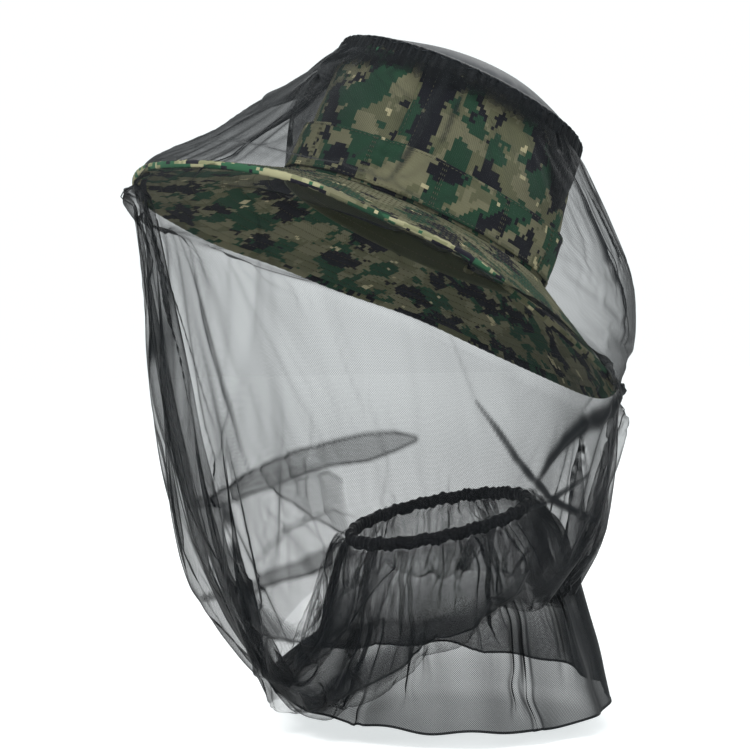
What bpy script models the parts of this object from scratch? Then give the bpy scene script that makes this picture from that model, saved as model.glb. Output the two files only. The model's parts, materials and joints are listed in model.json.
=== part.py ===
"""A wide-brimmed field hat under a fine net bee veil, at the size it is worn, in metres.

+Z is up, -Y is the wearer's front and +X the wearer's left. The origin is the middle of the hat's
head opening. Every turn angle runs round the head from the front (0) by the wearer's left (90 degrees).
The hat pieces are modelled upright under an empty that leans them back as the hat is worn. The veil hangs
from the crown over the brim, turns in under the chin and is gathered at the neck, where the collar turns.
"""

import math

import bmesh
import bpy
from mathutils import Euler, Vector

# Hat, upright, before it leans back
HEAD_LENGTH = 0.204
HEAD_WIDTH = 0.174
CROWN_HEIGHT = 0.100
CROWN_TOP_LENGTH = 0.184
CROWN_TOP_WIDTH = 0.164
CROWN_LEAN = 0.006
CROWN_DOME = 0.024
CROWN_SEAM_TURN = math.radians(45)
BRIM_LENGTH = 0.368
BRIM_WIDTH = 0.340
BRIM_SHIFT = 0.010
BRIM_DROP = 0.039
BRIM_TWIST = 0.010
BRIM_SAG = 0.003
BAND_LOW = 0.004
BAND_HEIGHT = 0.032
SWEATBAND_HEIGHT = 0.034
HAT_LEAN = math.radians(24.5)
HAT_ROLL = math.radians(3.0)

# Cloth and net thicknesses
CLOTH = 0.0009
WALL = 0.0012
BAND = 0.0014
NET = 0.0012
GAP = 0.0003
BINDING = 0.0008
BINDING_LEG = 0.006

# Veil, hanging as it is worn
VEIL_CLEAR = 0.0038
VEIL_BULGE = 0.022
VEIL_SEAM_TURN = math.radians(-27)
VEIL_SEAM_HALF = math.radians(1.2)
VEIL_SEAM_GAP = math.radians(0.2)
VEIL_TOP_SEAM_DEPTH = 0.008
VEIL_TOP_SEAM_WIDTH = 0.005
BAG_LOW = -0.284
BAG_LOW_SLOPE = 0.034
LIP_RADIUS = 0.0885
LIP_HEIGHT = -0.227

# Neck collar and shoulder skirt, round an upright axis through the neck
NECK_SHIFT = 0.022
NECK_HEIGHT = -0.2015
NECK_SLOPE = 0.23
NECK_RADIUS = 0.0632
CASING_WIDTH = 0.0066
CASING_HEIGHT = 0.011
ELASTIC_WIDTH = 0.0026
ELASTIC_HEIGHT = 0.006
GATHER_RADIUS = 0.0858
SKIRT_LOW = -0.325
SKIRT_RADIUS = 0.115
HEM_HEIGHT = 0.003
HEM_WIDTH = 0.002

SEGMENTS = 40
TINY = 1e-4
HAT_TILT = Euler((-HAT_LEAN, HAT_ROLL, 0.0)).to_matrix()


def clear_scene():
    """Removes every object that the file opened with."""
    for old in list(bpy.data.objects):
        bpy.data.objects.remove(old, do_unlink=True)


def material(name, colour, roughness):
    """A plain Principled material; colour is linear RGB."""
    made = bpy.data.materials.new(name)
    made.use_nodes = True
    shader = made.node_tree.nodes["Principled BSDF"]
    shader.inputs["Base Color"].default_value = (*colour, 1.0)
    shader.inputs["Roughness"].default_value = roughness
    shader.inputs["Metallic"].default_value = 0.0
    return made


# Curves and surfaces of the hat, upright


def oval(turn, half_length, half_width, shift=0.0, height=0.0):
    """A point on a level oval that is longer from front to back; shift moves it towards the back."""
    return Vector((half_width * math.sin(turn), shift - half_length * math.cos(turn), height))


def mix(low, high, share):
    return low + (high - low) * share


def crown_wall(turn, share):
    """The crown's outer side from the head opening (0) up to its top seam (1)."""
    half_length = mix(HEAD_LENGTH, CROWN_TOP_LENGTH, share) / 2
    half_width = mix(HEAD_WIDTH, CROWN_TOP_WIDTH, share) / 2
    return oval(turn, half_length, half_width, -CROWN_LEAN * share, CROWN_HEIGHT * share)


def crown_top(turn, share):
    """The domed top from its middle (0) out to the top seam (1)."""
    half_length = share * CROWN_TOP_LENGTH / 2
    half_width = share * CROWN_TOP_WIDTH / 2
    height = CROWN_HEIGHT + CROWN_DOME * (1 - share**2.4)
    return oval(turn, half_length, half_width, -CROWN_LEAN, height)


def brim_edge_height(turn):
    """The brim's edge dips at the front and back, and twists a little from worn-in handling."""
    return -BRIM_DROP + BRIM_TWIST * math.sin(2 * turn) - BRIM_SAG * math.cos(2 * turn)


def brim(turn, share):
    """The brim's middle surface from the head opening (0) out to its edge (1)."""
    inner = oval(turn, HEAD_LENGTH / 2, HEAD_WIDTH / 2)
    outer = oval(turn, BRIM_LENGTH / 2, BRIM_WIDTH / 2, -BRIM_SHIFT, brim_edge_height(turn))
    return inner.lerp(outer, share)


# Curves and surfaces of the veil, as it hangs


def neck_ring(turn, radius=NECK_RADIUS):
    """The collar's circle, lower at the throat than at the nape."""
    height = NECK_HEIGHT - NECK_SLOPE * radius * math.cos(turn)
    return oval(turn, radius, radius, NECK_SHIFT, height)


def bag_rings(turn):
    """The points that one upright line of net passes, from the crown's top seam to the lip under the chin."""
    back = (1 - math.cos(turn)) / 2
    low = BAG_LOW - BAG_LOW_SLOPE * math.cos(turn)
    seam_out = VEIL_TOP_SEAM_WIDTH
    start = oval(turn, CROWN_TOP_LENGTH / 2 + seam_out, CROWN_TOP_WIDTH / 2 + seam_out, -CROWN_LEAN)
    start.z = CROWN_HEIGHT - VEIL_TOP_SEAM_DEPTH - NET
    edge = oval(turn, BRIM_LENGTH / 2 + VEIL_CLEAR, BRIM_WIDTH / 2 + VEIL_CLEAR, -BRIM_SHIFT)
    over = edge + Vector((0, 0, brim_edge_height(turn) + 0.005))
    under = edge + Vector((0, 0, brim_edge_height(turn) - 0.014))
    start, over, under = (HAT_TILT @ point for point in (start, over, under))
    outward = Vector((math.sin(turn), -math.cos(turn), 0.35))
    halfway = start.lerp(over, 0.55) + outward * VEIL_BULGE * back
    lip = oval(turn, LIP_RADIUS, LIP_RADIUS, NECK_SHIFT, LIP_HEIGHT)
    fold = oval(turn, 0.115, 0.112, 0.008, low)
    return [
        start,
        halfway,
        over,
        under,
        oval(turn, 0.157, 0.151, -0.019, -0.150),
        oval(turn, 0.147, 0.140, -0.018, -0.215),
        oval(turn, 0.123, 0.120, 0.006, low + 0.012),
        fold,
        fold.lerp(lip, 0.5),
        lip,
    ]


def smooth_point(points, share):
    """A point on the centripetal Catmull-Rom curve through the points; share counts them from the first."""
    index = min(int(share), len(points) - 2)
    near = [points[min(max(index + k, 0), len(points) - 1)] for k in (-1, 0, 1, 2)]
    knots = [0.0]
    for here, following in zip(near, near[1:]):
        knots.append(knots[-1] + max((following - here).length, TINY) ** 0.5)
    at = mix(knots[1], knots[2], share - index)
    for level in (1, 2, 3):
        near = [
            near[k].lerp(near[k + 1], (at - knots[low]) / (knots[high] - knots[low]))
            for k, low, high in spline_spans(level)
        ]
    return near[0]


def spline_spans(level):
    """Which knots each blend of a Catmull-Rom curve runs between, at each of its three levels."""
    reach = {1: 1, 2: 2, 3: 1}[level]
    first = {1: 0, 2: 0, 3: 1}[level]
    return [(k, first + k, first + k + reach) for k in range(4 - level)]


def bag(turn, share):
    """The hanging net's middle surface; share counts the rings of bag_rings."""
    return smooth_point(bag_rings(turn), share)


def gather(turn, share):
    """The gathered net from the neck casing (0) out to the lip of the bag (1)."""
    start = neck_ring(turn) + Vector((0, 0, 0.001))
    start = start + casing_outward(turn) * (CASING_WIDTH / 2 + NET / 2 + GAP)
    end = oval(turn, GATHER_RADIUS, GATHER_RADIUS, NECK_SHIFT, LIP_HEIGHT)
    return start.lerp(end, share) + Vector((0, 0, 0.003 * math.sin(math.pi * share)))


def skirt(turn, share):
    """The shoulder skirt from the neck casing (0) down to its hem (1)."""
    start = neck_ring(turn) - Vector((0, 0, 0.0035))
    start = start + casing_outward(turn) * (CASING_WIDTH / 2 + NET / 2 + GAP)
    rings = [
        start,
        oval(turn, 0.0770, 0.0770, NECK_SHIFT, -0.242),
        oval(turn, 0.0910, 0.0910, NECK_SHIFT, -0.270),
        oval(turn, SKIRT_RADIUS, SKIRT_RADIUS, NECK_SHIFT, SKIRT_LOW),
    ]
    return smooth_point(rings, share * 3)


def casing_outward(turn):
    return Vector((math.sin(turn), -math.cos(turn), 0.0))


# Making the pieces


def full_turn():
    return [math.tau * step / SEGMENTS for step in range(SEGMENTS)]


def half_turn(start, inset):
    """Turn angles for half the way round from start, drawn in at both ends."""
    steps = SEGMENTS // 2
    inner = [start + math.pi * step / steps for step in range(1, steps)]
    return [start + inset, *inner, start + math.pi - inset]


def even(start, end, steps):
    return [mix(start, end, step / steps) for step in range(steps + 1)]


def surface_frame(surface, turn, share):
    """A surface's point, its direction along share and its normal there."""
    here = surface(turn, share)
    around = surface(turn + TINY, share) - surface(turn - TINY, share)
    along = surface(turn, share + TINY) - surface(turn, share - TINY)
    return here, along.normalized(), around.cross(along).normalized()


def finish_mesh(name, bm, look, parent):
    """Makes the object of a bmesh, smooth but for its sharp edges."""
    bmesh.ops.recalc_face_normals(bm, faces=bm.faces)
    mesh = bpy.data.meshes.new(name)
    bm.to_mesh(mesh)
    bm.free()
    mesh.shade_smooth()
    mesh.set_sharp_from_angle(angle=math.radians(40))
    mesh.materials.append(look)
    made = bpy.data.objects.new(name, mesh)
    bpy.context.scene.collection.objects.link(made)
    made.parent = parent
    return made


def join_rows(bm, rows, closed):
    """Fills between neighbouring rows of vertices, and from the last back to the first if closed."""
    pairs = zip(rows, rows[1:] + rows[:1]) if closed else zip(rows, rows[1:])
    for row, following in pairs:
        for low, high in zip(zip(row, following), zip(row[1:], following[1:])):
            bm.faces.new((low[0], low[1], high[1], high[0]))


def sheet(name, surface, turns, shares, thickness, look, lift=0.0, hub=None, parent=None):
    """A cloth piece of even thickness round a surface moved by lift along its normal.

    A whole turn of angles closes on itself. hub, a point, fills the hole in the middle of a disc.
    """
    bm = bmesh.new()
    rows = []
    for turn in turns:
        frames = (surface_frame(surface, turn, share) for share in shares)
        rows.append([bm.verts.new(point + normal * lift) for point, _, normal in frames])
    closed = len(turns) == SEGMENTS
    join_rows(bm, rows, closed)
    if hub is not None:
        middle = bm.verts.new(hub)
        for row, following in zip(rows, rows[1:] + rows[:1]):
            bm.faces.new((middle, following[0], row[0]))
    made = finish_mesh(name, bm, look, parent)
    solid = made.modifiers.new("thickness", "SOLIDIFY")
    solid.thickness = thickness
    solid.offset = 0.0
    return made


def hoop(name, frame, profile, look, parent=None):
    """A closed profile carried once round. frame(turn) gives its place and its out and up directions."""
    bm = bmesh.new()
    rows = []
    for turn in full_turn():
        place, out, up = frame(turn)
        row = [bm.verts.new(place + out * across + up * high) for across, high in profile]
        rows.append([*row, row[0]])
    join_rows(bm, rows, closed=True)
    return finish_mesh(name, bm, look, parent)


def box_profile(inner, outer, low, high):
    return [(inner, low), (outer, low), (outer, high), (inner, high)]


def channel_profile(leg, half_inside, wall, back):
    """A channel that wraps an edge: its legs reach in by leg, and its back stands off the edge by back."""
    half_outside = half_inside + wall
    return [
        (-leg, -half_outside),
        (back + wall, -half_outside),
        (back + wall, half_outside),
        (-leg, half_outside),
        (-leg, half_inside),
        (back, half_inside),
        (back, -half_inside),
        (-leg, -half_inside),
    ]


# The pieces


def crown_panels(look, parent):
    """Two side panels that meet at two upright seams."""
    seam_gap = GAP / HEAD_WIDTH
    low = (1.5 * CLOTH + 2 * GAP) / CROWN_HEIGHT
    high = 1 - (WALL / 2 + GAP) / CROWN_HEIGHT
    shares = even(low, high, 5)
    for name, start in (("crown_rear_panel", 0.0), ("crown_front_panel", math.pi)):
        turns = half_turn(CROWN_SEAM_TURN + start, seam_gap)
        sheet(name, crown_wall, turns, shares, WALL, look, lift=-WALL / 2, parent=parent)


def crown_cap(look, parent):
    hub = crown_top(0.0, 0.0)
    sheet("crown_top_panel", crown_top, full_turn(), [0.3, 0.6, 0.85, 1.0], WALL, look, hub=hub, parent=parent)


def crown_bands(band_look, lining_look, parent):
    """The outer band that holds foliage, and the sweatband inside the head opening."""
    band = even(BAND_LOW / CROWN_HEIGHT, (BAND_LOW + BAND_HEIGHT) / CROWN_HEIGHT, 2)
    sheet("foliage_band", crown_wall, full_turn(), band, BAND, band_look, lift=GAP + BAND / 2, parent=parent)
    inner = even(-0.02, SWEATBAND_HEIGHT / CROWN_HEIGHT, 2)
    inset = -(WALL + GAP + WALL / 2)
    sheet("sweatband", crown_wall, full_turn(), inner, WALL, lining_look, lift=inset, parent=parent)


def brim_plies(cloth_look, core_look, parent):
    """Two cloth plies with a stiffener between them; the surface's normal points down."""
    shares = even(0.0, 1.0, 4)
    plies = (("brim_top_ply", cloth_look, -1), ("brim_stiffener", core_look, 0), ("brim_under_ply", cloth_look, 1))
    for name, look, layer in plies:
        lift = layer * (CLOTH + GAP)
        sheet(name, brim, full_turn(), shares, CLOTH, look, lift=lift, parent=parent)


def brim_binding(look, parent):
    """The tape folded round the edges of the three brim plies."""

    def frame(turn):
        place, out, down = surface_frame(brim, turn, 1.0)
        return place, out, -down

    profile = channel_profile(BINDING_LEG, 1.5 * CLOTH + 2 * GAP, BINDING, GAP)
    hoop("brim_edge_binding", frame, profile, look, parent)


def veil_cap(look, seam_look, parent):
    """The veil's oval top over the crown, and the bunched seam that joins the net to it."""
    lift = -(WALL / 2 + GAP + NET / 2)
    hub = crown_top(0.0, 0.0) - Vector((0, 0, lift))
    sheet("veil_top_panel", crown_top, full_turn(), [0.3, 0.6, 0.85, 1.0], NET, look, lift, hub, parent)

    def frame(turn):
        place = oval(turn, CROWN_TOP_LENGTH / 2, CROWN_TOP_WIDTH / 2, -CROWN_LEAN, CROWN_HEIGHT)
        return place, casing_outward(turn), Vector((0, 0, 1))

    inner = WALL + 2 * GAP
    profile = box_profile(inner, inner + VEIL_TOP_SEAM_WIDTH, -VEIL_TOP_SEAM_DEPTH, 0.002)
    hoop("veil_top_seam", frame, profile, seam_look, parent)


def net_panels(look, seam_look):
    """The two panels of the hanging net, and the seams between them."""
    shares = [0, 0.5, 1, 1.5, 2, 2.5, 3, 3.5, 4, 4.5, 5, 5.5, 6, 6.5, 7, 8, 9]
    for name, start in (("net_left_panel", 0.0), ("net_right_panel", math.pi)):
        turns = half_turn(VEIL_SEAM_TURN + start, VEIL_SEAM_HALF)
        sheet(name, bag, turns, shares, NET, look)
    half = VEIL_SEAM_HALF - VEIL_SEAM_GAP
    for name, start in (("net_front_seam", 0.0), ("net_back_seam", math.pi)):
        middle = VEIL_SEAM_TURN + start
        sheet(name, bag, [middle - half, middle, middle + half], shares, NET, seam_look)


def neck_collar(casing_look, elastic_look):
    """The casing folded over the neck elastic, open along its lower edge, and the elastic in it."""

    def frame(turn):
        return neck_ring(turn), casing_outward(turn), Vector((0, 0, 1))

    half_width = CASING_WIDTH / 2
    half_height = CASING_HEIGHT / 2
    inside = half_width - WALL
    top = half_height - WALL
    profile = [
        (-half_width, -half_height),
        (-inside, -half_height),
        (-inside, top),
        (inside, top),
        (inside, -half_height),
        (half_width, -half_height),
        (half_width, half_height),
        (-half_width, half_height),
    ]
    hoop("neck_casing", frame, profile, casing_look)
    elastic_top = top - GAP
    elastic = box_profile(-ELASTIC_WIDTH / 2, ELASTIC_WIDTH / 2, elastic_top - ELASTIC_HEIGHT, elastic_top)
    hoop("neck_elastic", frame, elastic, elastic_look)


def collar_net(look, hem_look):
    """The gathered net above the shoulders, the two halves of the skirt and its hem."""
    sheet("net_neck_gather", gather, full_turn(), even(0.0, 1.0, 3), NET, look)
    seam_gap = GAP / NECK_RADIUS
    for name, start in (("skirt_left_panel", 0.0), ("skirt_right_panel", math.pi)):
        sheet(name, skirt, half_turn(VEIL_SEAM_TURN + start, seam_gap), even(0.0, 1.0, 7), NET, look)

    def frame(turn):
        place = oval(turn, SKIRT_RADIUS, SKIRT_RADIUS, NECK_SHIFT, SKIRT_LOW - GAP)
        return place, casing_outward(turn), Vector((0, 0, 1))

    hoop("skirt_hem", frame, box_profile(-HEM_WIDTH / 2, HEM_WIDTH / 2, -HEM_HEIGHT, -NET / 2), hem_look)


def main():
    clear_scene()
    camouflage = material("camouflage_twill", (0.17, 0.16, 0.085), 0.9)
    band_cloth = material("band_twill", (0.15, 0.15, 0.08), 0.9)
    core = material("brim_interlining", (0.62, 0.60, 0.54), 0.95)
    lining = material("sweatband_cotton", (0.10, 0.11, 0.06), 0.85)
    net = material("black_netting", (0.012, 0.012, 0.014), 0.6)
    seam = material("black_seam_tape", (0.010, 0.010, 0.011), 0.7)
    elastic = material("black_elastic", (0.014, 0.014, 0.015), 0.8)

    hat = bpy.data.objects.new("hat_lean", None)
    hat.rotation_euler = (-HAT_LEAN, HAT_ROLL, 0.0)
    bpy.context.scene.collection.objects.link(hat)

    crown_panels(camouflage, hat)
    crown_cap(camouflage, hat)
    crown_bands(band_cloth, lining, hat)
    brim_plies(camouflage, core, hat)
    brim_binding(band_cloth, hat)
    veil_cap(net, seam, hat)
    net_panels(net, seam)
    neck_collar(seam, elastic)
    collar_net(net, seam)


main()
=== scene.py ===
"""The looks of a field hat under a net bee veil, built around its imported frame.

Metres, +Z up, -Y the wearer's front, +X the wearer's left. Turn angles run round the head from the front (0)
by the wearer's left (90 degrees). The hat is shaped upright and then leant back as the frame has it.
"""

import json
import math
from math import pi, radians, tau

import bpy
import numpy as np
from mathutils import Euler, Matrix, Vector


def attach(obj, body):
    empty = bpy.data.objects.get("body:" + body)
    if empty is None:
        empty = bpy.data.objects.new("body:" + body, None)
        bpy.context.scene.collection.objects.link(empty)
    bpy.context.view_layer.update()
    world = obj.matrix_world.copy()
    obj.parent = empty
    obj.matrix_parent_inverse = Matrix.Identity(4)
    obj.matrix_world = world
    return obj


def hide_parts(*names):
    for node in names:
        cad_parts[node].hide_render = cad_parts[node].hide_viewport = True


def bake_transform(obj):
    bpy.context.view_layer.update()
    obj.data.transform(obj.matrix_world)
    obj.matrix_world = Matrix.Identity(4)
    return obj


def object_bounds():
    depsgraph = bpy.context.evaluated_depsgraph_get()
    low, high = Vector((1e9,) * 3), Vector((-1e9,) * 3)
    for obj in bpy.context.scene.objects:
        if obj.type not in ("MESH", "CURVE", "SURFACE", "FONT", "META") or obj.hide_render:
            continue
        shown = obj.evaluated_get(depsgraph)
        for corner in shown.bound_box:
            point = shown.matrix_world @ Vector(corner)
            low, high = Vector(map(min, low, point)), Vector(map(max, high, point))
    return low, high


norm = np.linalg.norm
MM = 1000.0
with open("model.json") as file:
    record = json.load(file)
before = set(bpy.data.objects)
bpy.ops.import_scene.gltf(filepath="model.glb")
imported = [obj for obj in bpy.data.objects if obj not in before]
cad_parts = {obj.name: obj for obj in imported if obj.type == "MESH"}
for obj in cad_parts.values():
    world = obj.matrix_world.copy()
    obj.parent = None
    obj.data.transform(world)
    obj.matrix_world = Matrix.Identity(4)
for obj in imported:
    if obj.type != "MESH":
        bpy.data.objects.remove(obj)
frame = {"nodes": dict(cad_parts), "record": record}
cad_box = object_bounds()

# Hat, upright
HEAD_LENGTH = 0.204
HEAD_WIDTH = 0.174
HEAD_RADIUS = (HEAD_LENGTH + HEAD_WIDTH) / 4
CROWN_HEIGHT = 0.100
CROWN_TOP_LENGTH = 0.184
CROWN_TOP_WIDTH = 0.164
CROWN_LEAN = 0.006
CROWN_DOME = 0.024
CROWN_SEAM_TURN = radians(45)
BRIM_LENGTH = 0.368
BRIM_WIDTH = 0.340
BRIM_SHIFT = 0.010
BRIM_DROP = 0.039
BRIM_TWIST = 0.010
BRIM_SAG = 0.003
BINDING_WIDTH = 0.022
PLY_LIFT = 0.0012
CLOTH = 0.0009
WALL = 0.0012
STITCH_ROW_PITCH = 0.0085
BAND_LOW = 0.004
BAND_HEIGHT = 0.032
BAND_TACKS = 12
BAND_FIRST_TACK = 0.15
BAND_THICK = 0.0013

# Veil
VEIL_SEAM_TURN = radians(-27)
NECK_SHIFT = 0.022
NECK_HEIGHT = -0.2015
NECK_SLOPE = 0.23
NECK_RADIUS = 0.0632
NET_AROUND = 1.20
NET_LONG = 0.62
NET_COLUMNS = 300
TENT_ROWS = 26
BAG_ROWS = 42
TURN_IN_ROWS = 34
NET_ROWS = TENT_ROWS + BAG_ROWS + TURN_IN_ROWS
NET_FRAMES = 22
HELD_IN_BAG = 0.12
HELD_OVER_BRIM = 0.5
HELD_NEAR_EDGE = 0.8
FINER = 4
BAG_LOW_FRONT = -0.323
BAG_LOW_BACK = -0.252
SKIRT_AROUND = 0.78
SKIRT_LAYERS = 4.8
SKIRT_LONG = 0.135
SKIRT_LOW = -0.325

FLOOR_GAP = 0.016
FLOOR_HALF = 6
STUDIO_WHITE = (1.0, 1.05, 1.06)

CAMO_SQUARE = 0.0025
NET_COVER = 0.26
NET_MESH = 0.0026
TAPE_WIDTH = 0.0032
TAPE_LAYERS = 5.0
HEM_LAYERS = 4.0
GATHERED_POWER = 0.30
GATHERED_THIN = 0.46

RECORD_MOUNTS = {mount["name"]: mount for mount in frame["record"]["mounts"]}


def hat_tilt():
    """The turn from upright to worn, from the axis of the head opening, which points down out of the hat."""
    up = -Vector(RECORD_MOUNTS["head_opening"]["axis"]).normalized()
    return np.array(Euler((-math.asin(up.y), math.atan2(up.x, up.z), 0.0)).to_matrix())


TILT = hat_tilt()


def worn(points):
    """Points of the upright hat, leant back as it is worn."""
    return points @ TILT.T


# Shapes as arrays: turn and share are arrays that broadcast together


def oval(turn, half_length, half_width, shift=0.0, height=0.0):
    x = half_width * np.sin(turn)
    y = shift - half_length * np.cos(turn)
    return np.stack(np.broadcast_arrays(x, y, height + 0.0 * x), axis=-1)


def mix(low, high, share):
    return low + (high - low) * share


def bump(distance, width):
    return np.exp(-((distance / width) ** 2))


def ramp(value):
    """The value, kept between 0 and 1."""
    return np.minimum(np.maximum(value, 0), 1)


def smoothstep(value):
    value = ramp(value)
    return value * value * (3 - 2 * value)


def wrapped(angle):
    """An angle brought between minus and plus half a turn."""
    return (angle + pi) % tau - pi


def near_turn(turn, place, width):
    """A bump round the head, with its place and width in degrees."""
    return bump(wrapped(turn - radians(place)), radians(width))


def plateau(turn, place, width):
    """One over a span of turns, with its place and width in degrees, and nothing a little outside it."""
    offset = wrapped(turn - radians(place)) / radians(width)
    return smoothstep((1.35 - np.abs(offset)) / 0.6)


def ripple(points, size, seed, waves=10):
    """Smooth seeded unevenness of about -1 to 1, with features about size across."""
    rng = np.random.default_rng(seed)
    total = 0.0
    for _ in range(waves):
        heading = rng.normal(size=3)
        heading /= norm(heading)
        length = size * rng.uniform(1.2, 2.6)
        total = total + np.sin(tau * (points @ heading) / length + rng.uniform(0, tau))
    return total / math.sqrt(waves)


def crown_wall(turn, share):
    half_length = mix(HEAD_LENGTH, CROWN_TOP_LENGTH, share) / 2
    half_width = mix(HEAD_WIDTH, CROWN_TOP_WIDTH, share) / 2
    return oval(turn, half_length, half_width, -CROWN_LEAN * share, CROWN_HEIGHT * share)


def crown_top(turn, share):
    height = CROWN_HEIGHT + CROWN_DOME * (1 - share**2.4)
    return oval(turn, share * CROWN_TOP_LENGTH / 2, share * CROWN_TOP_WIDTH / 2, -CROWN_LEAN, height)


def brim_edge_height(turn):
    return -BRIM_DROP + BRIM_TWIST * np.sin(2 * turn) - BRIM_SAG * np.cos(2 * turn)


def brim(turn, share):
    inner = oval(turn, HEAD_LENGTH / 2, HEAD_WIDTH / 2)
    outer = oval(turn, BRIM_LENGTH / 2, BRIM_WIDTH / 2, -BRIM_SHIFT, brim_edge_height(turn))
    return inner + (outer - inner) * np.asarray(share)[..., None]


def neck_ring(turn, radius=NECK_RADIUS, height=0.0):
    slope = NECK_SLOPE * radius * np.cos(turn)
    return oval(turn, radius, radius, NECK_SHIFT, NECK_HEIGHT - slope + height)


def turns_and_shares(columns, low, high, rows, first=0.0, last=tau):
    """Turns from first to last and shares from low to high, for a grid of points."""
    turn = np.linspace(first, last, columns)[:, None]
    share = np.linspace(low, high, rows)[None, :]
    return np.broadcast_arrays(turn, share)


def grid_normals(points):
    """Unit normals of a grid of points, on the side of around x along."""
    around = np.gradient(points, axis=0)
    along = np.gradient(points, axis=1)
    normal = np.cross(around, along)
    return normal / np.maximum(norm(normal, axis=-1, keepdims=True), 1e-9)


def turn_of(points):
    return np.arctan2(points[..., 0], -points[..., 1])


def raised(points, amount):
    """A grid of points moved along its normals."""
    return points + grid_normals(points) * amount[..., None]


def line_lengths(points):
    """Distance along a line of points from its first."""
    return np.concatenate([[0], np.cumsum(norm(np.diff(points, axis=0), axis=1))])


def along_line(at, reach, points):
    """The points at some distances along a line of points, whose own distances are reach."""
    return np.stack([np.interp(at, reach, points[:, k]) for k in range(3)], axis=1)


def ring_lengths(points):
    """The length of each ring of a grid that closes on itself round the columns."""
    return norm(np.roll(points, -1, axis=0) - points, axis=2).sum(axis=0)


def smoothed_down(points, passes):
    for _ in range(passes):
        points[:, 1:-1] = 0.25 * points[:, :-2] + 0.5 * points[:, 1:-1] + 0.25 * points[:, 2:]
    return points


def flat_grid(across, down):
    """Flat cloth coordinates of a grid, from those of its columns and its rows."""
    return np.stack(np.meshgrid(across, down, indexing="ij"), -1)


# Making meshes


def new_object(name, points, faces, look=None):
    mesh = bpy.data.meshes.new(name)
    mesh.from_pydata(np.asarray(points).reshape(-1, 3).tolist(), [], faces)
    mesh.shade_smooth()
    if look is not None:
        mesh.materials.append(look)
    made = bpy.data.objects.new(name, mesh)
    bpy.context.scene.collection.objects.link(made)
    return made


def set_uv(mesh, uv, name="UVMap"):
    """uv has one pair for each vertex."""
    layer = mesh.uv_layers.new(name=name)
    corners = np.empty(len(mesh.loops), dtype=np.int32)
    mesh.loops.foreach_get("vertex_index", corners)
    layer.data.foreach_set("uv", uv.reshape(-1, 2)[corners].astype(np.float32).ravel())


def lay_flat(mesh):
    """Gives a mesh level flat coordinates."""
    set_uv(mesh, np.array([vertex.co.xy for vertex in mesh.vertices]))


def grid_faces(columns, rows, flip=False):
    index = np.arange(columns * rows).reshape(columns, rows)
    quads = np.stack([index[:-1, :-1], index[1:, :-1], index[1:, 1:], index[:-1, 1:]], axis=-1)
    quads = quads.reshape(-1, 4)
    return (quads[:, ::-1] if flip else quads).tolist()


def cloth_grid(name, points, uv, look, flip=False):
    """A sheet of quads through a grid of points, with its flat cloth coordinates in metres."""
    made = new_object(name, points, grid_faces(*points.shape[:2], flip), look)
    set_uv(made.data, uv)
    return made


def weld_seam(piece):
    """Joins the first and last columns of a grid that goes all the way round."""
    piece.modifiers.new("weld", "WELD").merge_threshold = 1e-5


def thicken(piece, thickness, offset=0.0):
    solid = piece.modifiers.new("thickness", "SOLIDIFY")
    solid.thickness = thickness
    solid.offset = offset


def place_with(piece, body, slot, *nodes):
    """Says which body a piece moves with and which CAD nodes it stands for; slot is not used."""
    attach(piece, body)
    if nodes:
        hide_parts(*nodes)


def hat_cloth(name, points, uv, look, thickness, slot, node, flip=False):
    """A sheet of cloth that goes all the way round the hat, which is given upright."""
    piece = cloth_grid(name, worn(points), uv, look, flip)
    weld_seam(piece)
    thicken(piece, thickness)
    place_with(piece, "hat", slot, node)


def stitch_line(points, normals, pitch=0.0034, length=0.0025, width=0.0006, lift=0.0002):
    """Vertices and faces of a row of thread stitches along a line of points."""
    reach = line_lengths(points)
    centres = np.arange(pitch / 2, reach[-1], pitch)
    place = along_line(centres, reach, points)
    up = along_line(centres, reach, normals)
    ahead = along_line(centres + 1e-4, reach, points) - place
    ahead /= np.maximum(norm(ahead, axis=1, keepdims=True), 1e-12)
    side = np.cross(up, ahead)
    place = place + up * lift
    corners = [
        place - ahead * length / 2,
        place + side * width / 2,
        place + up * width / 2,
        place - side * width / 2,
        place - up * width / 2,
        place + ahead * length / 2,
    ]
    vertices = np.stack(corners, axis=1).reshape(-1, 3)
    pattern = [(0, 2, 1), (0, 3, 2), (0, 4, 3), (0, 1, 4), (5, 1, 2), (5, 2, 3), (5, 3, 4), (5, 4, 1)]
    faces = (np.arange(len(centres))[:, None, None] * 6 + np.array(pattern)[None]).reshape(-1, 3)
    return vertices, faces


def stitches(name, lines, look):
    """One piece of all the stitches along several (points, normals) lines."""
    vertices, faces, count = [], [], 0
    for points, normals in lines:
        more, shape = stitch_line(points, normals)
        vertices.append(more)
        faces.append(shape + count)
        count += len(more)
    return new_object(name, np.concatenate(vertices), np.concatenate(faces).tolist(), look)


# Materials


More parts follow.
